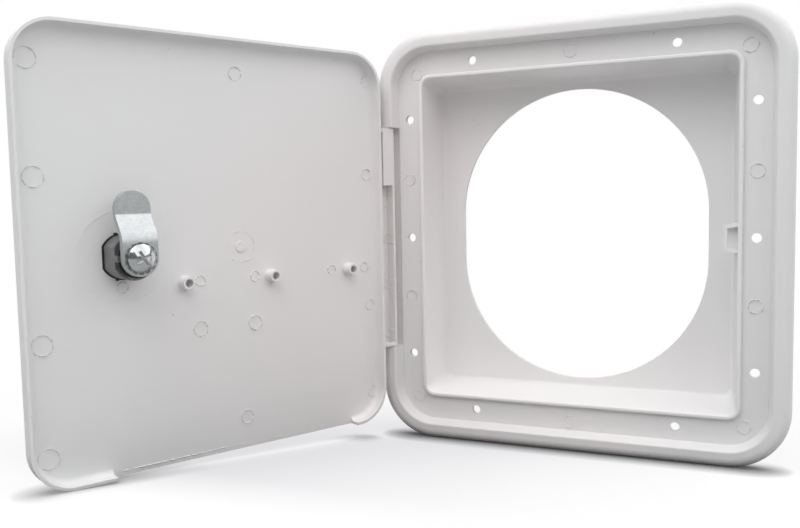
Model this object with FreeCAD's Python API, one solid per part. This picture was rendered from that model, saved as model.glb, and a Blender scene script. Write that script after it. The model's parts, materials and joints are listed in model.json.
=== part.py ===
"""Fuel filler hatch: a rimmed flange with a recessed box, and a lipped door on a side hinge with a cam lock.

Millimetres. The hatch looks along -Y, +Y goes into the wall, +X is right as seen from outside and +Z is up.
The origin is the centre of the flange's flat back face. The door and its lock are built closed and then
swung open by REST_OPEN_DEG, which is how the hatch stands at rest.
"""
import math
import os

import FreeCAD
import Part

V = FreeCAD.Vector

# Flange and rim
RIM_HALF_W = 118.6
RIM_HALF_H = 125.5
RIM_CORNER_R = 33.0
FLANGE_T = 3.0
BEAD_FOOT_W = 11.4
BEAD_HEIGHT = 8.0
BEAD_WALL = 2.2
BEAD_LEAN = 1.5
BEAD_INNER_R = 1.4
BEAD_ROLL_W = 5.4
BEAD_SIDE_H = 2.5
SCREW_R = 2.6
SIDE_SCREW_IN = 18.6
SIDE_SCREW_Z = 73.3
END_SCREW_IN = 18.8
END_SCREW_X = 58.8

# Recessed box, its lip and its cut-out
MARGIN_W = 27.9
LIP_HALF_W = RIM_HALF_W - MARGIN_W
LIP_HALF_H = RIM_HALF_H - MARGIN_W
LIP_PROUD = 2.2
LIP_EDGE_R = 0.9
LIP_CORNER_R = 5.0
BOX_DEPTH = 24.5
BOX_SIDE_DRAFT = 3.0
BOX_TOP_DRAFT = 4.1
BOX_WALL = 2.5
BOX_FOOT_R = 2.0
CUTOUT_SIDE_IN = 13.5
CUTOUT_END_IN = 5.0
CUTOUT_R = LIP_HALF_W - BOX_SIDE_DRAFT - CUTOUT_SIDE_IN
CUTOUT_RISE = LIP_HALF_H - BOX_TOP_DRAFT - CUTOUT_END_IN - CUTOUT_R

# Hinge
HINGE_IN = 4.6
HINGE_PROUD = 5.6
HINGE_X = -(RIM_HALF_W - HINGE_IN)
HINGE_Y = -FLANGE_T - HINGE_PROUD
HINGE_GAP_HALF = 68.7
GAP_FLOOR_T = 1.6
END_WALL_T = 3.0
PIN_R = 1.2
PIN_CLEARANCE = 0.05
UPPER_PIN_IN = 13.0
PIN_END_GAP = 0.5
STRIP_FRONT = 4.6
STRIP_OUT = 3.0
STRIP_CORNER_R = 2.6
STRIP_END_GAP = 0.5
STRIP_SKIRT = 3.9
STRIP_WALL = 1.4
STRIP_END_T = 2.2
PIN_BLOCK_Z = 33.0
PIN_BLOCK_SLIT = 1.9
REST_OPEN_DEG = 117.0

# Door
DOOR_GAP = 0.7
DOOR_END_GAP = 1.1
DOOR_STANDOFF = 0.7
DOOR_HALF_W = RIM_HALF_W - BEAD_FOOT_W - DOOR_GAP
DOOR_HALF_H = RIM_HALF_H - BEAD_FOOT_W - DOOR_END_GAP
DOOR_CORNER_R = RIM_CORNER_R - BEAD_FOOT_W - DOOR_GAP
DOOR_MIDDLE_Z = -0.5
DOOR_T = 2.8
DOOR_LIP_H = 7.0
DOOR_LIP_T = 1.6
DOOR_INNER_Y = -(FLANGE_T + DOOR_STANDOFF + DOOR_LIP_H)
DOOR_EDGE_R = 2.2
LIP_FOOT_R = 3.0
CUTAWAY_HINGE_IN = 23.0
CUTAWAY_FREE_IN = 41.0
BOSS_X = (-84.0, -29.8, 22.8)
BOSS_Z = -17.4
BOSS_FOOT_R = 3.9
BOSS_TIP_R = 3.3
BOSS_BORE_R = 2.2
BOSS_H = 6.0
BOSS_ROOT = 0.5
GATE_X = -11.0
GATE_R = 3.0
GATE_H = 0.5

# Cam lock
LOCK_IN = 51.0
LOCK_X = DOOR_HALF_W - LOCK_IN
LOCK_Z = -1.5
HEAD_R = 13.5
HEAD_T = 3.4
HEAD_EDGE_R = 2.0
BARREL_R = 11.3
BARREL_FLAT = 10.0
BARREL_PROUD = 15.3
BARREL_END_Y = DOOR_INNER_Y + BARREL_PROUD
LUG_W = 3.2
LUG_IN = 2.4
COLLAR_R = 9.9
COLLAR_T = 3.6
COLLAR_END_Y = BARREL_END_Y + COLLAR_T
GASKET_R = 11.9
GASKET_FLAT = 10.6
GASKET_T = 1.2
GASKET_EAR_IN = 2.9
GASKET_EAR_W = 1.3
GASKET_EAR_OUT = 0.2
PLUG_R = 6.0
PLUG_FACE_R = 8.0
PLUG_FACE_T = 1.6
PLUG_SQUARE = 7.0
KEYWAY_W = 1.4
KEYWAY_L = 8.0
KEYWAY_DEPTH = 9.0
CAM_GAP = 1.4
CAM_CRANK = 7.4
CAM_HALF_W = 9.0
CAM_T = 3.0
CAM_SEAT_Y = COLLAR_END_Y + CAM_GAP
CAM_TAB_Y = CAM_SEAT_Y - CAM_CRANK
CAM_BEND_FROM = 11.5
CAM_BEND_TO = 21.4
CAM_OUTER_R = 2.2
CAM_INNER_R = 0.6
CAM_END_GAP = 2.0
CAM_REACH = LIP_HALF_W - LOCK_X - CAM_END_GAP
CAM_SCREW_R = 2.5
CAM_SCREW_LENGTH = 12.0
CAM_HEAD_R = 7.0
CAM_HEAD_H = 3.4
CAM_HEAD_SIDE = 0.9
CAM_CROSS_W = 1.5
CAM_CROSS_L = 8.0
CAM_CROSS_DEPTH = 1.9
CAM_CROSS_TURN = 27.0
SQUARE_BELOW_FACE = 0.4
WASHER_R = 7.9
WASHER_T = 0.7
WASHER_TEETH = 14
WASHER_NOTCH_W = 1.5
WASHER_NOTCH_DEPTH = 1.2

# Keeper on the right-hand wall
KEEPER_REACH = 7.1
KEEPER_TIP_HALF_H = 7.0
KEEPER_ROOT_HALF_H = 8.2
KEEPER_SET_BACK = 0.2
KEEPER_CAM_GAP = 0.9
KEEPER_FRONT_Y = KEEPER_SET_BACK - FLANGE_T - LIP_PROUD
KEEPER_REAR_Y = CAM_TAB_Y - KEEPER_CAM_GAP
KEEPER_WALL = 1.7
KEEPER_SHALLOW = 1.6
KEEPER_DEEP = 4.8


def rounded_rect(half_w, half_h, radius, y):
    """Closed wire of a rounded rectangle in the plane at height y."""
    cx = half_w - radius
    cz = half_h - radius
    diagonal = radius * math.sqrt(0.5)
    edges = []
    for sx, sz in ((1, 1), (-1, 1), (-1, -1), (1, -1)):
        side = V(sx * half_w, y, sz * cz)
        end = V(sx * cx, y, sz * half_h)
        middle = V(sx * (cx + diagonal), y, sz * (cz + diagonal))
        first, last = (side, end) if sx == sz else (end, side)
        if edges:
            edges.append(Part.LineSegment(edges[-1].Vertexes[-1].Point, first).toShape())
        edges.append(Part.Arc(first, middle, last).toShape())
    edges.append(Part.LineSegment(edges[-1].Vertexes[-1].Point, edges[0].Vertexes[0].Point).toShape())
    return Part.Wire(edges)


def slab(half_w, half_h, radius, y0, y1):
    """Rounded rectangular slab between two heights."""
    return Part.Face(rounded_rect(half_w, half_h, radius, y0)).extrude(V(0, y1 - y0, 0))


def box_shape(grow):
    """The drafted inside of the box from lip to back, grown outwards by grow."""
    radius = LIP_CORNER_R + grow
    half_w = LIP_HALF_W + grow
    half_h = LIP_HALF_H + grow
    front = rounded_rect(half_w, half_h, radius, -FLANGE_T - LIP_PROUD)
    rear = rounded_rect(half_w - BOX_SIDE_DRAFT, half_h - BOX_TOP_DRAFT, radius, BOX_DEPTH)
    return Part.makeLoft([front, rear], True, True)


def block(x0, x1, y0, y1, z0, z1):
    return Part.makeBox(x1 - x0, y1 - y0, z1 - z0, V(x0, y0, z0))


def rod(radius, x, z, y0, y1):
    """Cylinder along Y."""
    return Part.makeCylinder(radius, y1 - y0, V(x, y0, z), V(0, 1, 0))


def upright_rod(radius, x, y, z0, z1):
    """Cylinder along Z."""
    return Part.makeCylinder(radius, z1 - z0, V(x, y, z0), V(0, 0, 1))


def flatted_rod(radius, flat, x, z, y0, y1):
    """Cylinder along Y with two flats that face left and right."""
    return rod(radius, x, z, y0, y1).common(block(x - flat, x + flat, y0, y1, z - radius, z + radius))


def bead_outline(hollow):
    """Face of the bead's section at the right-hand side, in the plane z = 0."""
    foot = RIM_HALF_W - BEAD_FOOT_W
    crown_y = -FLANGE_T - BEAD_HEIGHT
    lean_x = foot + BEAD_LEAN
    lean_y = crown_y + BEAD_INNER_R
    crown_x = lean_x + BEAD_INNER_R
    roll_x = RIM_HALF_W - BEAD_ROLL_W
    side_y = -FLANGE_T - BEAD_SIDE_H
    corner = math.sqrt(0.5)

    def point(x, y):
        return V(x, y, 0)

    def line(a, b):
        return Part.LineSegment(a, b).toShape()

    def quarter(from_x, from_y, to_x, to_y):
        """Rounded turn from a face along X to a face along Y."""
        middle = point(from_x + corner * (to_x - from_x), to_y + corner * (from_y - to_y))
        return Part.Arc(point(from_x, from_y), middle, point(to_x, to_y)).toShape()

    foot_back = point(foot, 0)
    lean = point(lean_x, lean_y)
    outer_back = point(RIM_HALF_W, 0)
    edges = [
        line(foot_back, point(foot, -FLANGE_T)),
        line(point(foot, -FLANGE_T), lean),
        quarter(crown_x, crown_y, lean_x, lean_y),
        line(point(crown_x, crown_y), point(roll_x, crown_y)),
        quarter(roll_x, crown_y, RIM_HALF_W, side_y),
        line(point(RIM_HALF_W, side_y), outer_back),
    ]
    if not hollow:
        edges.append(line(outer_back, foot_back))
        return Part.Face(Part.Wire(edges))
    wall_x = RIM_HALF_W - BEAD_WALL
    roof_y = crown_y + BEAD_WALL
    leg_x = foot + BEAD_WALL
    roof_end = point(lean_x + BEAD_WALL, roof_y)
    edges += [
        line(outer_back, point(wall_x, 0)),
        line(point(wall_x, 0), point(wall_x, side_y)),
        quarter(roll_x, roof_y, wall_x, side_y),
        line(point(roll_x, roof_y), roof_end),
        line(roof_end, point(leg_x, -FLANGE_T)),
        line(point(leg_x, -FLANGE_T), point(leg_x, 0)),
        line(point(leg_x, 0), foot_back),
    ]
    return Part.Face(Part.Wire(Part.__sortEdges__(edges)))


def swept_round(section):
    """The section carried round the rounded rectangle of the rim, as four straights and four corners."""
    cx = RIM_HALF_W - RIM_CORNER_R
    cz = RIM_HALF_H - RIM_CORNER_R
    origin = V(0, 0, 0)
    up = V(0, 1, 0)
    side = section.translated(V(0, 0, -cz)).extrude(V(0, 0, 2 * cz))
    corner = section.translated(V(0, 0, cz)).revolve(V(cx, 0, cz), up, -90)
    top = section.translated(V(-cx, 0, 0)).rotated(origin, up, -90).translated(V(-cx, 0, cz))
    top = top.extrude(V(2 * cx, 0, 0))
    pieces = [side, corner, top]
    mirrored = [piece.mirror(origin, V(1, 0, 0)) for piece in (side, corner)]
    pieces += mirrored
    pieces += [piece.mirror(origin, V(0, 0, 1)) for piece in (corner, top, mirrored[1])]
    return pieces[0].multiFuse(pieces[1:]).removeSplitter()


def make_rim_bead():
    foot = RIM_HALF_W - BEAD_FOOT_W
    ring = swept_round(bead_outline(True))
    crown_y = -FLANGE_T - BEAD_HEIGHT
    gap = block(-RIM_HALF_W - 1, -foot, crown_y - 1, 1, -HINGE_GAP_HALF, HINGE_GAP_HALF)
    ring = ring.cut(gap)
    solid_end = bead_outline(False).mirror(V(0, 0, 0), V(1, 0, 0))
    upper = solid_end.translated(V(0, 0, HINGE_GAP_HALF)).extrude(V(0, 0, END_WALL_T))
    lower = solid_end.translated(V(0, 0, -HINGE_GAP_HALF)).extrude(V(0, 0, -END_WALL_T))
    floor = block(-RIM_HALF_W, -foot, -GAP_FLOOR_T, 0, -HINGE_GAP_HALF, HINGE_GAP_HALF)
    ring = ring.multiFuse([upper, lower, floor])
    reach = HINGE_GAP_HALF + END_WALL_T
    return ring.cut(upright_rod(PIN_R, HINGE_X, HINGE_Y, -reach, reach)).removeSplitter()


def edges_at(shape, y):
    """Edges that lie flat at a height."""
    return [e for e in shape.Edges if abs(e.BoundBox.YMin - y) < 1e-6 and abs(e.BoundBox.YMax - y) < 1e-6]


def make_recess_walls():
    """Drafted walls with a rounded lip in front and a rounded foot inside."""
    inside = box_shape(0)
    inside = inside.makeFillet(BOX_FOOT_R, edges_at(inside, BOX_DEPTH))
    walls = box_shape(BOX_WALL).cut(inside)
    return walls.makeFillet(LIP_EDGE_R, edges_at(walls, -FLANGE_T - LIP_PROUD))


def make_recess_back():
    half_w = LIP_HALF_W + BOX_WALL - BOX_SIDE_DRAFT
    half_h = LIP_HALF_H + BOX_WALL - BOX_TOP_DRAFT
    plate = slab(half_w, half_h, LIP_CORNER_R + BOX_WALL, BOX_DEPTH, BOX_DEPTH + BOX_WALL)
    y0 = BOX_DEPTH - 1
    y1 = BOX_DEPTH + BOX_WALL + 1
    upper = rod(CUTOUT_R, 0, CUTOUT_RISE, y0, y1)
    lower = rod(CUTOUT_R, 0, -CUTOUT_RISE, y0, y1)
    middle = block(-CUTOUT_R, CUTOUT_R, y0, y1, -CUTOUT_RISE, CUTOUT_RISE)
    return plate.cut(upper.multiFuse([lower, middle]).removeSplitter())


def screw_places():
    column_x = RIM_HALF_W - SIDE_SCREW_IN
    row_z = RIM_HALF_H - END_SCREW_IN
    places = [(sx * column_x, z) for sx in (-1, 1) for z in (-SIDE_SCREW_Z, 0, SIDE_SCREW_Z)]
    places += [(sx * END_SCREW_X, sz * row_z) for sx in (-1, 1) for sz in (-1, 1)]
    return places


def make_screw_flange():
    inset = BEAD_FOOT_W
    plate = slab(RIM_HALF_W - inset, RIM_HALF_H - inset, RIM_CORNER_R - inset, -FLANGE_T, 0)
    holes = [rod(SCREW_R, x, z, -FLANGE_T - 1, 1) for x, z in screw_places()]
    return plate.cut(box_shape(BOX_WALL)).cut(Part.makeCompound(holes))


def prism(points, direction):
    return Part.Face(Part.makePolygon(points + [points[0]])).extrude(direction)


def make_keeper():
    """Catch for the cam: a tapered pad with a pocket whose floor falls away towards the box wall."""
    left = LIP_HALF_W - KEEPER_REACH
    right = LIP_HALF_W + 1
    outline = [(left, -KEEPER_TIP_HALF_H), (left, KEEPER_TIP_HALF_H),
               (right, KEEPER_ROOT_HALF_H), (right, -KEEPER_ROOT_HALF_H)]
    depth = KEEPER_REAR_Y - KEEPER_FRONT_Y
    pad = prism([V(x, KEEPER_FRONT_Y, z) for x, z in outline], V(0, depth, 0))
    pocket_outline = [(left + KEEPER_WALL, -KEEPER_TIP_HALF_H + KEEPER_WALL),
                      (left + KEEPER_WALL, KEEPER_TIP_HALF_H - KEEPER_WALL),
                      (right + 1, KEEPER_ROOT_HALF_H - KEEPER_WALL),
                      (right + 1, -KEEPER_ROOT_HALF_H + KEEPER_WALL)]
    opening = prism([V(x, KEEPER_FRONT_Y - 1, z) for x, z in pocket_outline], V(0, depth, 0))
    floor = prism([
        V(left, KEEPER_FRONT_Y - 1, -KEEPER_ROOT_HALF_H),
        V(left, KEEPER_FRONT_Y + KEEPER_SHALLOW, -KEEPER_ROOT_HALF_H),
        V(right + 1, KEEPER_FRONT_Y + KEEPER_DEEP, -KEEPER_ROOT_HALF_H),
        V(right + 1, KEEPER_FRONT_Y - 1, -KEEPER_ROOT_HALF_H),
    ], V(0, 0, 2 * KEEPER_ROOT_HALF_H))
    return pad.common(box_shape(0)).cut(opening.common(floor))


def hinge_pin(z0, z1):
    return upright_rod(PIN_R, HINGE_X, HINGE_Y, z0, z1)


def door_slab():
    """The door as a solid block with its front edge rounded."""
    outer_y = DOOR_INNER_Y - DOOR_T
    body = slab(DOOR_HALF_W, DOOR_HALF_H, DOOR_CORNER_R, outer_y, DOOR_INNER_Y + DOOR_LIP_H)
    return body.makeFillet(DOOR_EDGE_R, edges_at(body, outer_y))


def door_moulding():
    tip_y = DOOR_INNER_Y + DOOR_LIP_H
    body = door_slab()
    tray = slab(
        DOOR_HALF_W - DOOR_LIP_T, DOOR_HALF_H - DOOR_LIP_T, DOOR_CORNER_R - DOOR_LIP_T, DOOR_INNER_Y, tip_y + 1
    )
    body = body.cut(tray.makeFillet(LIP_FOOT_R, edges_at(tray, DOOR_INNER_Y)))
    cutaway = block(
        CUTAWAY_HINGE_IN - DOOR_HALF_W, DOOR_HALF_W - CUTAWAY_FREE_IN, DOOR_INNER_Y, tip_y + 1,
        -DOOR_HALF_H - 1, -DOOR_HALF_H + DOOR_LIP_T + LIP_FOOT_R,
    )
    return body.cut(cutaway).translated(V(0, 0, DOOR_MIDDLE_Z))


def make_door_panel():
    body = door_moulding()
    root_y = DOOR_INNER_Y - BOSS_ROOT
    length = BOSS_ROOT + BOSS_H
    bosses = [Part.makeCone(BOSS_FOOT_R, BOSS_TIP_R, length, V(x, root_y, BOSS_Z), V(0, 1, 0)) for x in BOSS_X]
    gate = rod(GATE_R, GATE_X, 0, root_y, DOOR_INNER_Y + GATE_H)
    body = body.multiFuse(bosses + [gate])
    bores = [rod(BOSS_BORE_R, x, BOSS_Z, DOOR_INNER_Y, DOOR_INNER_Y + BOSS_H + 1) for x in BOSS_X]
    lock_hole = flatted_rod(BARREL_R, BARREL_FLAT, LOCK_X, LOCK_Z, DOOR_INNER_Y - DOOR_T - 1, DOOR_INNER_Y + 1)
    return body.cut(Part.makeCompound(bores + [lock_hole])).removeSplitter()


def strip_end():
    return HINGE_GAP_HALF - STRIP_END_GAP


def channel_space(left, right, z0, z1):
    """Room between the strip's outer wall and the door's lip, from the floor to the strip's tip."""
    return block(left, right, DOOR_INNER_Y, HINGE_Y + STRIP_SKIRT, z0, z1)


def make_hinge_strip():
    """The door's edge carried over the hinge line: a front skin and an outer wall, closed at both ends."""
    end = strip_end()
    outer_x = HINGE_X - STRIP_OUT
    front_y = HINGE_Y - STRIP_FRONT
    body = block(outer_x, -DOOR_HALF_W, front_y, HINGE_Y + STRIP_SKIRT, -end, end)
    corner = [e for e in body.Edges if e.BoundBox.XMax < outer_x + 1e-6 and e.BoundBox.YMax < front_y + 1e-6]
    body = body.makeFillet(STRIP_CORNER_R, corner)
    skin = block(-DOOR_HALF_W, -DOOR_HALF_W + DOOR_EDGE_R, front_y, DOOR_INNER_Y, -end, end).cut(door_slab())
    core_end = end - STRIP_END_T
    channel = channel_space(outer_x + STRIP_WALL, -DOOR_HALF_W, -core_end, core_end)
    bore = upright_rod(PIN_R + PIN_CLEARANCE, HINGE_X, HINGE_Y, -end - 1, end + 1)
    return body.fuse(skin).cut(channel).cut(bore).removeSplitter()


def make_hinge_pin_block():
    top = strip_end() - STRIP_END_T
    body = channel_space(HINGE_X - STRIP_OUT + STRIP_WALL, -DOOR_HALF_W - PIN_BLOCK_SLIT, PIN_BLOCK_Z, top)
    bore = upright_rod(PIN_R + PIN_CLEARANCE, HINGE_X, HINGE_Y, top - UPPER_PIN_IN, top + 1)
    return body.cut(bore)


def make_lock_head():
    outer_y = DOOR_INNER_Y - DOOR_T
    face_y = outer_y - HEAD_T
    body = rod(HEAD_R, LOCK_X, LOCK_Z, face_y, outer_y)
    body = body.makeFillet(HEAD_EDGE_R, edges_at(body, face_y))
    seat = rod(PLUG_FACE_R + PIN_CLEARANCE, LOCK_X, LOCK_Z, face_y - 1, face_y + PLUG_FACE_T)
    bore = rod(PLUG_R + PIN_CLEARANCE, LOCK_X, LOCK_Z, face_y - 1, outer_y + 1)
    return body.cut(seat.fuse(bore))


def make_lock_gasket():
    """Flat rubber ring round the barrel, with a small ear above and below."""
    y0 = DOOR_INNER_Y
    y1 = DOOR_INNER_Y + GASKET_T
    reach = GASKET_R + GASKET_EAR_OUT
    plate = flatted_rod(GASKET_R, GASKET_FLAT, LOCK_X, LOCK_Z, y0, y1)
    ear_x = LOCK_X + GASKET_EAR_IN
    ears = block(ear_x, ear_x + GASKET_EAR_W, y0, y1, LOCK_Z - reach, LOCK_Z + reach)
    hole = flatted_rod(BARREL_R, BARREL_FLAT, LOCK_X, LOCK_Z, y0 - 1, y1 + 1)
    return plate.fuse(ears).removeSplitter().cut(hole)


def stop_lug(y0, y1):
    """Stop lug on the barrel's end, at the free-edge side, and its slot in the collar."""
    half = 0.5 * LUG_W
    return block(LOCK_X + COLLAR_R - LUG_IN, LOCK_X + BARREL_FLAT, y0, y1, LOCK_Z - half, LOCK_Z + half)


def make_lock_barrel():
    outer_y = DOOR_INNER_Y - DOOR_T
    body = flatted_rod(BARREL_R, BARREL_FLAT, LOCK_X, LOCK_Z, outer_y, BARREL_END_Y)
    body = body.fuse(stop_lug(BARREL_END_Y, COLLAR_END_Y)).removeSplitter()
    return body.cut(rod(PLUG_R + PIN_CLEARANCE, LOCK_X, LOCK_Z, outer_y - 1, BARREL_END_Y + 1))


def make_stop_collar():
    """Black ring on the barrel's end, slotted for the stop lug."""
    ring = rod(COLLAR_R, LOCK_X, LOCK_Z, BARREL_END_Y, COLLAR_END_Y)
    bore = rod(PLUG_R + PIN_CLEARANCE, LOCK_X, LOCK_Z, BARREL_END_Y - 1, COLLAR_END_Y + 1)
    return ring.cut(bore).cut(stop_lug(BARREL_END_Y - 1, COLLAR_END_Y + 1))


def make_key_plug():
    face_y = DOOR_INNER_Y - DOOR_T - HEAD_T
    half = 0.5 * PLUG_SQUARE
    face = rod(PLUG_FACE_R, LOCK_X, LOCK_Z, face_y, face_y + PLUG_FACE_T)
    shaft = rod(PLUG_R, LOCK_X, LOCK_Z, face_y + PLUG_FACE_T, CAM_SEAT_Y)
    square_end = CAM_SEAT_Y + CAM_T - SQUARE_BELOW_FACE
    square = block(LOCK_X - half, LOCK_X + half, CAM_SEAT_Y, square_end, LOCK_Z - half, LOCK_Z + half)
    keyway = block(
        LOCK_X - 0.5 * KEYWAY_W, LOCK_X + 0.5 * KEYWAY_W, face_y - 1, face_y + KEYWAY_DEPTH,
        LOCK_Z - 0.5 * KEYWAY_L, LOCK_Z + 0.5 * KEYWAY_L,
    )
    thread_end = screw_seat() - CAM_SCREW_LENGTH
    thread = rod(CAM_SCREW_R, LOCK_X, LOCK_Z, thread_end, CAM_SEAT_Y + CAM_T + 1)
    return face.multiFuse([shaft, square]).cut(Part.makeCompound([keyway, thread])).removeSplitter()


def make_cam():
    """Cranked strip: its side profile carried across the width, bent, and trimmed by its rounded plan."""
    seat = CAM_SEAT_Y
    tab = CAM_TAB_Y
    lean = CAM_T * math.tan(0.5 * math.atan2(CAM_CRANK, CAM_BEND_TO - CAM_BEND_FROM))
    profile = [
        (-CAM_HALF_W, seat),
        (CAM_BEND_FROM - lean, seat),
        (CAM_BEND_TO - lean, tab),
        (CAM_REACH, tab),
        (CAM_REACH, tab + CAM_T),
        (CAM_BEND_TO, tab + CAM_T),
        (CAM_BEND_FROM, seat + CAM_T),
        (-CAM_HALF_W, seat + CAM_T),
    ]
    points = [V(LOCK_X - CAM_HALF_W, y, LOCK_Z + z) for z, y in profile]
    strip = Part.Face(Part.makePolygon(points + [points[0]])).extrude(V(2 * CAM_HALF_W, 0, 0))

    def bends(corners):
        spots = [(LOCK_Z + z, y) for z, y in corners]
        return [
            e for e in strip.Edges
            if e.BoundBox.XLength > CAM_HALF_W
            and any(abs(e.BoundBox.ZMin - z) < 1e-6 and abs(e.BoundBox.YMin - y) < 1e-6 for z, y in spots)
        ]

    strip = strip.makeFillet(CAM_OUTER_R, bends([profile[6], profile[2]]))
    strip = strip.makeFillet(CAM_INNER_R, bends([profile[5], profile[1]]))
    y0 = tab - 1
    y1 = seat + CAM_T + 1
    tip_z = LOCK_Z + CAM_REACH - CAM_HALF_W
    plan = rod(CAM_HALF_W, LOCK_X, LOCK_Z, y0, y1).multiFuse([
        rod(CAM_HALF_W, LOCK_X, tip_z, y0, y1),
        block(LOCK_X - CAM_HALF_W, LOCK_X + CAM_HALF_W, y0, y1, LOCK_Z, tip_z),
    ])
    half = 0.5 * PLUG_SQUARE
    hole = block(LOCK_X - half, LOCK_X + half, seat - 1, seat + CAM_T + 1, LOCK_Z - half, LOCK_Z + half)
    return strip.common(plan).cut(hole).removeSplitter()


def screw_seat():
    return CAM_SEAT_Y + CAM_T + WASHER_T


def make_lock_washer():
    """Toothed washer under the cam screw's head."""
    y0 = CAM_SEAT_Y + CAM_T
    ring = rod(WASHER_R, LOCK_X, LOCK_Z, y0, screw_seat())
    notch = block(
        LOCK_X + WASHER_R - WASHER_NOTCH_DEPTH, LOCK_X + WASHER_R + 1, y0 - 1, screw_seat() + 1,
        LOCK_Z - 0.5 * WASHER_NOTCH_W, LOCK_Z + 0.5 * WASHER_NOTCH_W,
    )
    turn = 360.0 / WASHER_TEETH
    notches = [notch.rotated(V(LOCK_X, 0, LOCK_Z), V(0, 1, 0), turn * i) for i in range(WASHER_TEETH)]
    bore = rod(CAM_SCREW_R + PIN_CLEARANCE, LOCK_X, LOCK_Z, y0 - 1, screw_seat() + 1)
    return ring.cut(Part.makeCompound(notches + [bore]))


def make_cam_screw():
    """Truss-headed screw: its domed head and shank turned as one section, with a cross cut into the head."""
    seat_y = screw_seat()
    side_y = seat_y + CAM_HEAD_SIDE
    top_y = seat_y + CAM_HEAD_H
    dome = CAM_HEAD_H - CAM_HEAD_SIDE
    dome_r = (CAM_HEAD_R ** 2 + dome ** 2) / (2 * dome)
    half_x = 0.5 * CAM_HEAD_R
    half_y = top_y - dome_r + math.sqrt(dome_r ** 2 - half_x ** 2)
    outline = [
        V(0, seat_y - CAM_SCREW_LENGTH, 0),
        V(CAM_SCREW_R, seat_y - CAM_SCREW_LENGTH, 0),
        V(CAM_SCREW_R, seat_y, 0),
        V(CAM_HEAD_R, seat_y, 0),
        V(CAM_HEAD_R, side_y, 0),
    ]
    edges = Part.makePolygon(outline).Edges
    edges.append(Part.Arc(outline[-1], V(half_x, half_y, 0), V(0, top_y, 0)).toShape())
    edges.append(Part.LineSegment(V(0, top_y, 0), outline[0]).toShape())
    turned = Part.Face(Part.Wire(edges)).revolve(V(0, 0, 0), V(0, 1, 0), 360)
    body = turned.translated(V(LOCK_X, 0, LOCK_Z))
    y0 = top_y - CAM_CROSS_DEPTH
    half_w = 0.5 * CAM_CROSS_W
    half_l = 0.5 * CAM_CROSS_L
    cross = block(LOCK_X - half_w, LOCK_X + half_w, y0, top_y + 1, LOCK_Z - half_l, LOCK_Z + half_l).fuse(
        block(LOCK_X - half_l, LOCK_X + half_l, y0, top_y + 1, LOCK_Z - half_w, LOCK_Z + half_w)
    )
    return body.cut(cross.rotated(V(LOCK_X, 0, LOCK_Z), V(0, 1, 0), CAM_CROSS_TURN))


def opened(shape):
    """A shape of the closed door, swung to the open rest position."""
    return shape.rotated(V(HINGE_X, HINGE_Y, 0), V(0, 0, 1), -REST_OPEN_DEG)


def main():
    end_wall = HINGE_GAP_HALF + END_WALL_T
    inner_end = strip_end() - STRIP_END_T
    shapes = {
        "screw_flange": make_screw_flange(),
        "rim_bead": make_rim_bead(),
        "recess_walls": make_recess_walls(),
        "recess_back": make_recess_back(),
        "keeper": make_keeper(),
        "hinge_pin_upper": hinge_pin(inner_end - UPPER_PIN_IN + PIN_END_GAP, end_wall),
        "hinge_pin_lower": hinge_pin(-end_wall, -inner_end),
        "door_panel": opened(make_door_panel()),
        "hinge_strip": opened(make_hinge_strip()),
        "hinge_pin_block": opened(make_hinge_pin_block()),
        "lock_head": opened(make_lock_head()),
        "lock_gasket": opened(make_lock_gasket()),
        "lock_barrel": opened(make_lock_barrel()),
        "stop_collar": opened(make_stop_collar()),
        "key_plug": opened(make_key_plug()),
        "cam": opened(make_cam()),
        "lock_washer": opened(make_lock_washer()),
        "cam_screw": opened(make_cam_screw()),
    }
    os.makedirs("parts", exist_ok=True)
    for name, shape in shapes.items():
        solids = shape.Solids
        state = "ok" if shape.isValid() and len(solids) == 1 else "CHECK"
        print(name, state, "solids", len(solids), "volume", round(shape.Volume, 1))
        shape.exportStep("parts/" + name + ".step")


main()
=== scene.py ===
"""Looks of the fuel filler hatch: finishes, moulding marks, flash, studio floor, lights and camera."""

import json
import math

import bmesh
import bpy
from mathutils import Matrix, Vector, noise


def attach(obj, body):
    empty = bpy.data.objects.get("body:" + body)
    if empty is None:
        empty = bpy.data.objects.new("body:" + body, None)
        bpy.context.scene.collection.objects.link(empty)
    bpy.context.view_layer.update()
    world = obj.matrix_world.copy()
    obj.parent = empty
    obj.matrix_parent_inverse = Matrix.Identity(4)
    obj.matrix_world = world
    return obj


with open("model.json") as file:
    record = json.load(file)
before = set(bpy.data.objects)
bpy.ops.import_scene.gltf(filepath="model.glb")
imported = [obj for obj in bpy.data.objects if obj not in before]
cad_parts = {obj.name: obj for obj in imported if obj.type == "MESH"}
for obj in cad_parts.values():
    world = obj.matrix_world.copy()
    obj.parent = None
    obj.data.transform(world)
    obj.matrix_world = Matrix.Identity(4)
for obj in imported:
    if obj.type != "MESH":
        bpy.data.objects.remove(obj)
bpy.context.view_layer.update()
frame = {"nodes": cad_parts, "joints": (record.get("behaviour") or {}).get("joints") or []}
nodes = frame["nodes"]
scene = bpy.context.scene

MM = 0.001

# Camera, solved from the photograph
CAMERA_AT = (0.105487, -0.488927, 0.025687)
CAMERA_LOOK = (-0.401746, 0.912269, -0.079780)
CAMERA_ROLL = 1.1391
CAMERA_LENS = 37.701
CAMERA_SENSOR = 36.0

# Places on the moulding in millimetres, as in the solids; those on the door are for the closed door
FLANGE_FACE_Y = -3.0
DOOR_FACE_Y = -10.7
DOOR_TIP_Y = -3.7
DOOR_INSIDE_X = 104.9
STRIP_WALL_X = -115.6
STRIP_TIP_Y = -4.7
LOCK_X = 55.5
LOCK_Z = -1.5
GATE_X = -11.0

# The cam's slanted middle comes forward by this much over this height
CAM_LEAN = math.atan2(7.4, 9.9)

# The plastic is warmest here, by the hinge, in metres
WARM_SPOT = (-0.115, -0.03, -0.02)

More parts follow.
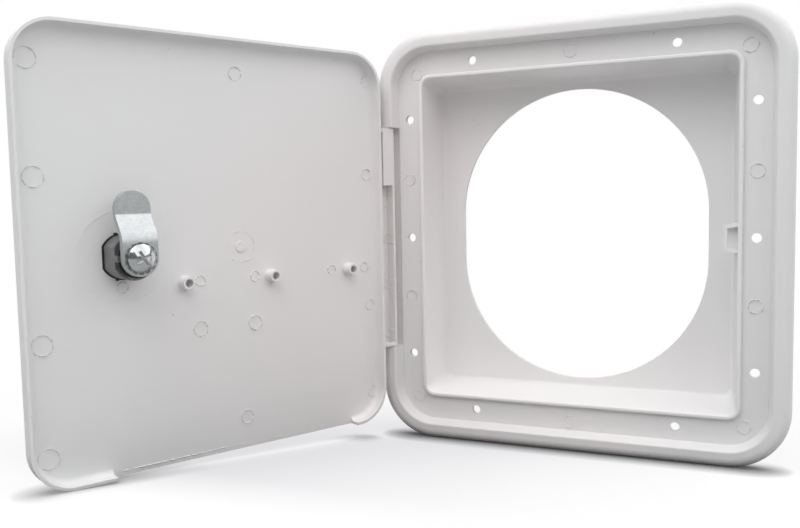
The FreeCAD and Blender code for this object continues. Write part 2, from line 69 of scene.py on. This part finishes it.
# Floor: its height under the frame, its rise towards the camera, which brings it to the door's lower corner as
# in the photograph, its half width, and the middle of the cast shadow in metres
FLOOR_Z = -125.7
FLOOR_RISE = 0.064
FLOOR_HALF = 8000
SHADE_MIDDLE = (-0.05, -0.12, FLOOR_Z * MM)

door_hinge = next(joint for joint in frame["joints"] if joint["name"] == "door_hinge")
to_hinge = Matrix.Translation(Vector(door_hinge["pos_m"]))
swing = Matrix.Rotation(-math.radians(door_hinge["range_deg"][1]), 4, "Z")
OPEN_DOOR = to_hinge @ swing @ to_hinge.inverted()
AS_BUILT = Matrix.Identity(4)


class Value:
    """A number in a node tree. Python's operators on it add Math nodes."""

    def __init__(self, tree, socket):
        self.tree = tree
        self.socket = socket

    def maths(self, operation, first, second):
        return self.tree.add("ShaderNodeMath", {"operation": operation}, {0: first, 1: second})

    def __add__(self, other):
        return self.maths("ADD", self, other)

    def __radd__(self, other):
        return self.maths("ADD", other, self)

    def __sub__(self, other):
        return self.maths("SUBTRACT", self, other)

    def __rsub__(self, other):
        return self.maths("SUBTRACT", other, self)

    def __mul__(self, other):
        return self.maths("MULTIPLY", self, other)

    def __rmul__(self, other):
        return self.maths("MULTIPLY", other, self)

    def __pow__(self, other):
        return self.maths("POWER", self, other)

    def __rpow__(self, other):
        return self.maths("POWER", other, self)

    def or_more(self, other):
        return self.maths("MAXIMUM", self, other)


class Tree:
    """A tree of shader nodes, for a finish, the floor or the studio round it."""

    def __init__(self, node_tree):
        self.node_tree = node_tree

    def add(self, kind, settings=None, sockets=None, output=0):
        """A node of that type: its settings come first, then the values or links of its sockets."""
        node = self.node_tree.nodes.new(kind)
        for key, setting in (settings or {}).items():
            if key == "stops":
                self.set_stops(node.color_ramp.elements, setting)
            else:
                setattr(node, key, setting)
        for key, value in (sockets or {}).items():
            self.feed(node.inputs[key], value)
        return Value(self, node.outputs[output])

    def set_stops(self, elements, stops):
        for index, (place, level) in enumerate(stops):
            stop = elements[index] if index < 2 else elements.new(place)
            stop.position = place
            stop.color = (level, level, level, 1)

    def feed(self, socket, value):
        if isinstance(value, Value):
            self.node_tree.links.new(value.socket, socket)
        else:
            socket.default_value = value

    def vector(self, operation, first, second, output="Vector"):
        """A Vector Math node on two vectors."""
        return self.add("ShaderNodeVectorMath", {"operation": operation}, {0: first, 1: second}, output)

    def along(self, axis, vector):
        """One of the three numbers of a vector."""
        return self.add("ShaderNodeSeparateXYZ", {}, {0: vector}, axis)

    def place(self, stretch=(1, 1, 1)):
        """Position on the piece in metres, stretched."""
        point = self.add("ShaderNodeTexCoord", output="Object")
        if stretch == (1, 1, 1):
            return point
        return self.add("ShaderNodeMapping", {}, {"Vector": point, "Scale": stretch})

    def mottle(self, scale, detail=3.0, roughness=0.5, where=None):
        """Noise of about 0 to 1, with so many bumps in a metre."""
        sockets = {"Vector": where or self.place(), "Scale": scale, "Detail": detail, "Roughness": roughness}
        return self.add("ShaderNodeTexNoise", {}, sockets)

    def ramp(self, value, *stops):
        """Turns a value into the levels of the stops, each given as (place from 0 to 1, level)."""
        return self.add("ShaderNodeValToRGB", {"stops": stops}, {0: value})

    def tint(self, mask, first, second):
        """Colour that goes from the first to the second with the mask."""
        return self.add("ShaderNodeMix", {"data_type": "RGBA"}, {0: mask, 6: first, 7: second}, 2)

    def bump(self, height, strength, distance, normal=None):
        sockets = {"Height": height, "Strength": strength, "Distance": distance}
        if normal:
            sockets["Normal"] = normal
        return self.add("ShaderNodeBump", {}, sockets)

    def shade_of_corners(self, distance, samples):
        """One in the open, less where other surfaces are near."""
        return self.add("ShaderNodeAmbientOcclusion", {"samples": samples}, {"Distance": distance}, "AO")

    def eased_edges(self, radius):
        """Normal that rounds the edges off."""
        return self.add("ShaderNodeBevel", {"samples": 12}, {"Radius": radius})

    def rolled_folds(self, normal):
        """Leans the normals of the cam's outer side over softly round its lower fold."""
        up = self.along("Z", self.place())
        lean = self.ramp(20.0 * up, (0.11, 0.0), (0.25, 1.0), (0.388, 1.0), (0.404, 0.0))
        swung = OPEN_DOOR.to_3x3()
        outward = swung @ Vector((0, 1, 0))
        leaning = swung @ Vector((0, math.cos(CAM_LEAN), math.sin(CAM_LEAN)))
        rolled = self.add("ShaderNodeMix", {"data_type": "VECTOR"}, {0: lean, 4: outward, 5: leaning}, 1)
        to_world = {"vector_type": "NORMAL", "convert_from": "OBJECT", "convert_to": "WORLD"}
        rolled = self.add("ShaderNodeVectorTransform", to_world, {0: rolled})
        outward = self.add("ShaderNodeVectorTransform", to_world, {0: outward})
        shown = self.add("ShaderNodeNewGeometry", output="Normal")
        front = self.ramp(self.vector("DOT_PRODUCT", shown, outward, "Value"), (0.5, 0.0), (0.6, 1.0))
        change = self.vector("SUBTRACT", rolled, shown)
        change = self.add("ShaderNodeVectorMath", {"operation": "SCALE"}, {0: change, "Scale": front})
        return self.vector("ADD", normal, change)

    def sees(self, *ways):
        """One where the ray is of one of these kinds."""
        rays = [self.add("ShaderNodeLightPath", output=way) for way in ways]
        total = rays[0]
        for ray in rays[1:]:
            total = total.or_more(ray)
        return total


class Finish(Tree):
    """A material: its surface shader, and the nodes that vary it."""

    def __init__(self, name, **constants):
        self.material = bpy.data.materials.new(name)
        self.material.use_nodes = True
        super().__init__(self.material.node_tree)
        self.shader = self.node_tree.nodes["Principled BSDF"]
        for key, value in constants.items():
            self.shader.inputs[key.replace("_", " ")].default_value = value

    def vary(self, **sockets):
        for key, value in sockets.items():
            self.feed(self.shader.inputs[key.replace("_", " ")], value)


def grey(level, warm=0.0, cool=0.0):
    """Neutral colour, pushed a little towards pink or towards green and blue."""
    return (level + warm - cool, level - 0.4 * warm, level - 0.6 * warm + 0.4 * cool, 1)


def moulded_white(name, base, edge, reach):
    """Satin moulded plastic: cloudy, speckled, with a few dark specks and orange peel.

    It is warm by the hinge and no longer so at the reach in metres."""
    finish = Finish(name, IOR=1.49)
    spot = finish.place()
    from_hinge = finish.vector("DISTANCE", spot, WARM_SPOT, "Value")
    clouds = finish.mottle(9.0, 3.0, 0.55)
    drift = finish.mottle(5.0, 1.0, 0.5)
    speckle = finish.mottle(1500.0, 1.0, 0.5)
    warmth = finish.ramp(from_hinge, (0.4 * reach, 1.0), (reach, 0.0))
    warmth = warmth + 0.12 * finish.ramp(drift, (0.4, 0.0), (0.6, 1.0))
    tone = finish.tint(warmth, grey(base, 0.0, 0.006), grey(base, 0.030))
    tone = finish.tint(finish.ramp(clouds, (0.35, 0.0), (0.65, 0.5)), tone, grey(base - 0.02))
    dirt = finish.add("ShaderNodeTexVoronoi", {"feature": "F1"}, {"Vector": spot, "Scale": 120.0})
    chosen = finish.mottle(47.0, 0.0, 0.5)
    specks = finish.ramp(dirt, (0.035, 1.0), (0.06, 0.0)) * finish.ramp(chosen, (0.60, 0.0), (0.64, 1.0))
    tone = finish.tint(specks * 0.55, tone, grey(0.30))
    tone = finish.tint(finish.ramp(speckle, (0.3, 0.14), (0.7, 0.0)), tone, grey(base - 0.10))
    smears = finish.mottle(60.0, 4.0, 0.6, finish.place((1.0, 1.0, 0.25)))
    finish.vary(Base_Color=tone, Roughness=0.38 + 0.16 * smears)
    peel = finish.mottle(620.0, 2.0, 0.5)
    waves = finish.mottle(38.0, 1.0, 0.4)
    rough = finish.bump(peel, 0.16, 0.00012, finish.eased_edges(edge))
    finish.vary(Normal=finish.bump(waves, 0.10, 0.0012, rough))
    return finish.material


def plated(name, base, dull, roughness, edge, scale=900.0, rolled=False):
    """Bright plated metal, a little blue, with fine grain, dull patches and softened edges or rolled folds."""
    finish = Finish(name, Metallic=1.0)
    patches = finish.mottle(180.0, 3.0, 0.6)
    grain = finish.mottle(scale, 2.0, 0.6)
    bright = grey(base, 0.0, 0.02)
    tone = finish.tint(finish.ramp(patches, (0.4, 0.0), (0.7, 0.6)), bright, grey(dull, 0.0, 0.02))
    tone = finish.tint(finish.ramp(grain, (0.45, 0.0), (0.7, 0.35)), tone, grey(0.7 * dull, 0.0, 0.02))
    finish.vary(Base_Color=tone, Roughness=roughness + 0.06 * grain)
    normal = finish.eased_edges(edge)
    if rolled:
        normal = finish.rolled_folds(normal)
    finish.vary(Normal=finish.bump(grain, 0.10, 0.00003, normal))
    return finish.material


def cast_grey(name, base, pale, roughness, metallic, edge):
    """Dark lock metal with fine grain and worn pale spots."""
    finish = Finish(name, Metallic=metallic)
    grain = finish.mottle(1400.0, 2.0, 0.6)
    wear = finish.mottle(260.0, 4.0, 0.65)
    finish.vary(Base_Color=finish.tint(finish.ramp(wear, (0.52, 0.0), (0.72, 0.8)), grey(base), grey(pale)))
    finish.vary(Roughness=roughness + 0.2 * grain)
    finish.vary(Normal=finish.bump(grain, 0.25, 0.0001, finish.eased_edges(edge)))
    return finish.material


white_frame = moulded_white("frame_white", 0.80, 0.0003, 0.25)
# The recess and keeper take a paler copy of the frame's plastic: painted light for the light that falls inside
# the recess.
recess_white_painted_light = moulded_white("box_white_painted_light", 0.845, 0.00004, 0.25)
white_door = moulded_white("door_white", 0.83, 0.0003, 0.17)
# Marks, burrs and lines take a paler copy of the plastic: a painted highlight on their ridges.
mark_highlight_white = moulded_white("mark_white_painted_highlight", 0.86, 0.00004, 0.18)
cam_plate = plated("cam_plating", 0.58, 0.48, 0.41, 0.0004, rolled=True)
screw_plate = plated("screw_plating", 0.62, 0.52, 0.10, 0.0003, 500.0)
washer_plate = plated("washer_plating", 0.30, 0.20, 0.24, 0.0001)
head_plate = plated("lock_head_plating", 0.78, 0.72, 0.14, 0.0004, 400.0)
pin_wire = plated("pin_wire", 0.60, 0.45, 0.30, 0.0001)
barrel_grey = cast_grey("barrel_grey", 0.24, 0.36, 0.34, 0.75, 0.0003)
# The stop collar is near black: painted shadow for the shaded recess between the barrel's end and the cam.
collar_painted_shadow_black = cast_grey("collar_painted_shadow_black", 0.012, 0.05, 0.38, 0.0, 0.0003)
gasket_black = cast_grey("gasket_black", 0.008, 0.016, 0.62, 0.0, 0.0002)

FINISHES = {
    "screw_flange": white_frame,
    "rim_bead": white_frame,
    "recess_walls": recess_white_painted_light,
    "recess_back": recess_white_painted_light,
    "keeper": recess_white_painted_light,
    "hinge_pin_upper": pin_wire,
    "hinge_pin_lower": pin_wire,
    "door_panel": white_door,
    "hinge_strip": white_door,
    "hinge_pin_block": white_door,
    "lock_head": head_plate,
    "lock_gasket": gasket_black,
    "lock_barrel": barrel_grey,
    "stop_collar": collar_painted_shadow_black,
    "key_plug": head_plate,
    "cam": cam_plate,
    "lock_washer": washer_plate,
    "cam_screw": screw_plate,
}
for name, material in FINISHES.items():
    nodes[name].data.materials.clear()
    nodes[name].data.materials.append(material)


def piece(name, mesh, body, material, placed=AS_BUILT):
    """Makes a bmesh in millimetres into a piece in metres that rides on a body."""
    bmesh.ops.recalc_face_normals(mesh, faces=mesh.faces)
    mesh.transform(placed @ Matrix.Scale(MM, 4))
    data = bpy.data.meshes.new(name)
    mesh.to_mesh(data)
    mesh.free()
    data.materials.append(material)
    for face in data.polygons:
        face.use_smooth = True
    made = bpy.data.objects.new(name, data)
    scene.collection.objects.link(made)
    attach(made, body)
    return made


def unevenness(x, y, seed):
    """Smooth wander of about -1 to 1."""
    return 1.6 * noise.noise(Vector((x + 7.3 * seed, y - 3.1 * seed, 0.37 * seed)))


# The foot of a ridge of flash stands this deep in the surface, and its crest is nowhere lower than this
FLASH_ROOT = 0.05
FLASH_LEAST = 0.015


def add_flash(mesh, path, out, width, height, seed, broken=0.35, closed=False):
    """Ragged ridge of flash along a path, standing out of the surface. Broken is the share that is missing."""
    count = len(path)
    rows = []
    for index, point in enumerate(path):
        before = path[index - 1] if index or closed else point
        after = path[(index + 1) % count] if index < count - 1 or closed else point
        across = (after - before).normalized().cross(out)
        flow = unevenness(0.35 * index, 0.0, seed)
        ragged = unevenness(1.7 * index, 5.0, seed)
        rise = max(FLASH_LEAST, height * (1 - broken + flow + 0.35 * ragged))
        half = 0.5 * width * (0.75 + 0.25 * flow)
        rows.append([
            mesh.verts.new(point - half * across - FLASH_ROOT * out),
            mesh.verts.new(point + 0.12 * ragged * half * across + rise * out),
            mesh.verts.new(point + half * across - FLASH_ROOT * out),
        ])
    pairs = list(zip(rows, rows[1:]))
    if closed:
        pairs.append((rows[-1], rows[0]))
    for first, second in pairs:
        for side in range(3):
            other = (side + 1) % 3
            mesh.faces.new((first[side], first[other], second[other], second[side]))
    if not closed:
        mesh.faces.new(rows[0])
        mesh.faces.new(list(reversed(rows[-1])))


def arc(x, y, z, radius, start, end, steps):
    """Points of an arc on a face that looks along Y, by angles in degrees from +X towards +Z."""
    points = []
    for step in range(steps + 1):
        angle = math.radians(start + (end - start) * step / steps)
        points.append(Vector((x + radius * math.cos(angle), y, z + radius * math.sin(angle))))
    return points


def ring(x, y, z, radius, steps):
    """Points of a whole ring. The last one comes a step before the first."""
    return arc(x, y, z, radius, 0, 360 - 360 / steps, steps - 1)


def add_mark(mesh, x, y, z, radius, out, seed, height):
    """Ejector pin mark: a thin ring of flash, low here and there."""
    add_flash(mesh, ring(x, y, z, radius, 60), out, 0.7, height, seed, 0.25, True)


def run(first, last, steps):
    """Points of a straight line."""
    first = Vector(first)
    last = Vector(last)
    return [first.lerp(last, step / steps) for step in range(steps + 1)]


INTO_BOX = Vector((0, 1, 0))
OUT_OF_WALL = Vector((0, -1, 0))
OFF_STRIP_WALL = Vector((1, 0, 0))

# Ejector pin marks: place across, place up, radius
DOOR_MARKS = [
    (97.5, 93.9, 5.0), (96.8, 38.7, 5.0), (96.7, -41.9, 5.0), (96.5, -97.2, 5.0),
    (-100.4, 96.5, 3.2), (-99.2, 40.0, 3.2), (-99.9, -40.9, 3.2), (-100.5, -96.0, 3.2),
    (-11.1, 94.5, 3.75), (-11.7, -96.1, 3.75), (14.4, -43.1, 4.0), (-18.7, -43.2, 4.0),
    (-96.1, -17.0, 2.75), (-71.7, -17.0, 2.75), (-19.4, -17.0, 2.75), (14.0, -17.0, 2.75),
    (56.3, -17.4, 2.75),
]
marks = bmesh.new()
for index, (x, z, radius) in enumerate(DOOR_MARKS):
    add_mark(marks, x, DOOR_FACE_Y, z, radius, INTO_BOX, index + 1, 0.70)
piece("door_ejector_marks", marks, "door", mark_highlight_white, OPEN_DOOR)

FLANGE_MARKS = [
    (0.3, 107.2, 3.7), (95.9, 102.0, 3.8), (100.1, 35.9, 3.7), (99.9, -36.8, 3.7), (94.9, -103.3, 3.6),
    (-0.5, -108.7, 3.5), (-100.5, 36.1, 3.4), (-100.6, -36.7, 3.4), (-94.5, 100.6, 3.4), (-96.4, -100.5, 3.4),
]
marks = bmesh.new()
for index, (x, z, radius) in enumerate(FLANGE_MARKS):
    add_mark(marks, x, FLANGE_FACE_Y, z, radius, OUT_OF_WALL, index + 30, 0.60)
piece("flange_ejector_marks", marks, "frame", mark_highlight_white)

# Faint rings round the lock and the gate, and the witness line of the cut-away edge
lines = bmesh.new()
CUT_EDGE = [Vector((x, DOOR_FACE_Y, z)) for x, z in ((61.0, -111.3), (2.0, -111.0), (-70.0, -112.6))]
add_flash(lines, arc(LOCK_X, DOOR_FACE_Y, LOCK_Z, 23.2, 20, 112, 60), INTO_BOX, 0.5, 0.34, 51)
add_flash(lines, arc(LOCK_X, DOOR_FACE_Y, LOCK_Z, 23.2, 205, 320, 70), INTO_BOX, 0.4, 0.22, 52)
add_flash(lines, arc(GATE_X, DOOR_FACE_Y, 0.0, 8.5, 0, 354, 90), INTO_BOX, 0.4, 0.28, 53, 0.35, True)
add_flash(lines, run(CUT_EDGE[0], CUT_EDGE[1], 110), INTO_BOX, 0.8, 0.50, 54, 0.5)
add_flash(lines, run(CUT_EDGE[1], CUT_EDGE[2], 100), INTO_BOX, 0.5, 0.20, 55, 0.7)
piece("door_witness_lines", lines, "door", mark_highlight_white, OPEN_DOOR)

# Burrs on the edge of the lip: place across, from and to up the door, points, height, seed, how broken
LIP_BURRS = [
    (DOOR_INSIDE_X, 44.0, 30.0, 30, 0.35, 61, 0.5),
    (DOOR_INSIDE_X, -68.0, -84.0, 34, 0.40, 62, 0.5),
    (-105.2, 86.0, 60.0, 50, 0.30, 63, 0.6),
    (-105.2, -60.0, -88.0, 50, 0.30, 64, 0.6),
]
burrs = bmesh.new()
for x, first, last, steps, height, seed, broken in LIP_BURRS:
    edge = run((x, DOOR_TIP_Y, first), (x, DOOR_TIP_Y, last), steps)
    add_flash(burrs, edge, INTO_BOX, 0.5, height, seed, broken)
piece("lip_burrs", burrs, "door", mark_highlight_white, OPEN_DOOR)

# Pin marks that wrap the corner of the hinge strip: a half ring on its floor and two lines up its wall
wraps = bmesh.new()
for index, z in enumerate((29.6, -0.4, -29.3, -60.8)):
    half_ring = arc(STRIP_WALL_X + 1.1, DOOR_FACE_Y, z, 2.8, -110, 110, 36)
    add_flash(wraps, half_ring, INTO_BOX, 0.8, 0.50, 70 + index, 0.2)
    for side in (-2.7, 2.7):
        foot = (STRIP_WALL_X, DOOR_FACE_Y, z + side)
        tip = (STRIP_WALL_X, STRIP_TIP_Y - 0.2, z + side)
        add_flash(wraps, run(foot, tip, 14), OFF_STRIP_WALL, 0.8, 0.48, 80 + index, 0.1)
piece("strip_ejector_marks", wraps, "door", mark_highlight_white, OPEN_DOOR)


def studio_floor():
    """Floor that stays white to the camera, with painted contact shade and painted broad shade, a faint cast
    shadow and a low bounce.
    """
    finish = Finish("studio_floor")
    finish.node_tree.nodes.remove(finish.shader)
    spot = finish.add("ShaderNodeNewGeometry", output="Position")
    away = finish.vector("DISTANCE", spot, SHADE_MIDDLE, "Value")
    across = finish.along("X", spot)
    deep = finish.along("Y", spot)

    # What the camera sees: white, with painted shade that is darker where surfaces are near, its strength and
    # reach set by place on the floor. Places are moved by half a metre, because a ramp's stops go from 0 to 1
    core = finish.shade_of_corners(0.015, 12)
    broad_corner_shade = finish.shade_of_corners(0.20, 12)
    # Painted contact shade: darkest by the frame and under the door's free edge, none between, set by place
    # along Y
    darkest = finish.ramp(deep + 0.5, (0.34, 0.33), (0.38, 1.0), (0.455, 1.0), (0.475, 0.09))
    tight = finish.tint(core ** 3.0, darkest, (1, 1, 1, 1))
    # Painted broad shade, only between the door and the frame, set by place on the floor
    between = finish.ramp(across + 0.5, (0.47, 1.0), (0.59, 0.0))
    between = between * finish.ramp(deep + 0.5, (0.315, 0.0), (0.365, 1.0))
    shade = between * finish.ramp(broad_corner_shade, (0.45, 1.0), (0.97, 0.0))
    wide = finish.tint(shade, (1, 1, 1, 1), (0.70, 0.70, 0.73, 1))
    both = {"data_type": "RGBA", "blend_type": "MULTIPLY"}
    tone = finish.add("ShaderNodeMix", both, {0: 1.0, 6: tight, 7: wide}, 2)
    glow = finish.add("ShaderNodeEmission", {}, {"Color": tone, "Strength": 1.0})
    lit = finish.add("ShaderNodeBsdfDiffuse", {}, {"Color": grey(0.9)})
    near = finish.ramp(away, (0.25, 1.0), (0.50, 0.0))
    shown = finish.add("ShaderNodeMixShader", {}, {0: 0.14 * near, 1: glow, 2: lit})

    # What lights the hatch from below, its colour darkened near the hatch as painted shade, and what the metal
    # mirrors
    under = finish.shade_of_corners(0.09, 4)
    below = finish.tint(under ** 4.0, grey(0.02), grey(BOUNCE))
    bounce = finish.add("ShaderNodeBsdfDiffuse", {}, {"Color": below})
    backdrop = finish.sees("Is Glossy Ray") * finish.ramp(deep + 1.0, (0.95, 0.0), (1.0, 1.0))
    seen = finish.sees("Is Camera Ray", "Is Transmission Ray").or_more(backdrop)
    mixed = finish.add("ShaderNodeMixShader", {}, {0: seen, 1: bounce, 2: shown})
    finish.feed(finish.node_tree.nodes["Material Output"].inputs["Surface"], mixed)
    mesh = bmesh.new()
    bmesh.ops.create_grid(mesh, x_segments=1, y_segments=1, size=FLOOR_HALF)
    lean = Matrix.Rotation(-math.atan(FLOOR_RISE), 4, "X")
    mesh.transform(Matrix.Scale(MM, 4) @ Matrix.Translation((0, 0, FLOOR_Z)) @ lean)
    data = bpy.data.meshes.new("studio_floor")
    mesh.to_mesh(data)
    mesh.free()
    data.materials.append(finish.material)
    floor = bpy.data.objects.new("studio_floor", data)
    scene.collection.objects.link(floor)


def studio_world():
    """White backdrop behind the hatch, and even soft light from the room."""
    world = bpy.data.worlds.new("studio")
    scene.world = world
    world.use_nodes = True
    studio = Tree(world.node_tree)
    direction = studio.add("ShaderNodeTexCoord", output="Generated")
    room = studio.add("ShaderNodeBackground", {}, {"Color": (1, 1, 1, 1), "Strength": AMBIENT})
    backdrop = studio.add("ShaderNodeBackground", {}, {"Color": (1, 1, 1, 1), "Strength": 1.0})
    deep = studio.along("Y", direction)
    behind = studio.sees("Is Glossy Ray") * studio.ramp(deep, (0.15, 0.0), (0.35, 1.0))
    white = studio.sees("Is Camera Ray", "Is Transmission Ray").or_more(behind)
    mixed = studio.add("ShaderNodeMixShader", {}, {0: white, 1: room, 2: backdrop})
    studio.feed(world.node_tree.nodes["World Output"].inputs["Surface"], mixed)


# The softboxes look at this place
LIT_MIDDLE = Vector((-0.05, -0.05, 0.0))


def softbox(name, at, size, watts):
    """Square soft light: its place and its width in metres."""
    light = bpy.data.lights.new(name, "AREA")
    light.size = size
    light.energy = watts
    lamp = bpy.data.objects.new(name, light)
    lamp.location = at
    lamp.rotation_mode = "QUATERNION"
    lamp.rotation_quaternion = (LIT_MIDDLE - Vector(at)).to_track_quat("-Z", "Y")
    scene.collection.objects.link(lamp)


# Light levels, fitted to the tones of the photograph: the floor's share, the room's, then each softbox
BOUNCE = 0.45
AMBIENT = 0.195
SOFTBOXES = [
    ("front_softbox", (0.0, -0.955, 0.955), 0.8, 3.6),
    ("high_right_softbox", (1.158, -0.204, 1.618), 3.6, 51.0),
    ("low_left_softbox", (-0.751, -0.896, 0.675), 0.8, 2.4),
    ("high_left_softbox", (-0.477, -0.477, 1.169), 0.8, 5.8),
]
studio_floor()
studio_world()
for name, at, size, watts in SOFTBOXES:
    softbox(name, at, size, watts)

camera_data = bpy.data.cameras.new("photo_camera")
camera_data.lens = CAMERA_LENS
camera_data.sensor_width = CAMERA_SENSOR
camera_data.clip_start = 0.01
camera = bpy.data.objects.new("photo_camera", camera_data)
camera.location = CAMERA_AT
camera.rotation_mode = "QUATERNION"
level = Vector(CAMERA_LOOK).to_track_quat("-Z", "Y")
camera.rotation_quaternion = level @ Matrix.Rotation(-math.radians(CAMERA_ROLL), 4, "Z").to_quaternion()
scene.collection.objects.link(camera)
scene.camera = camera
scene.view_settings.view_transform = "Standard"
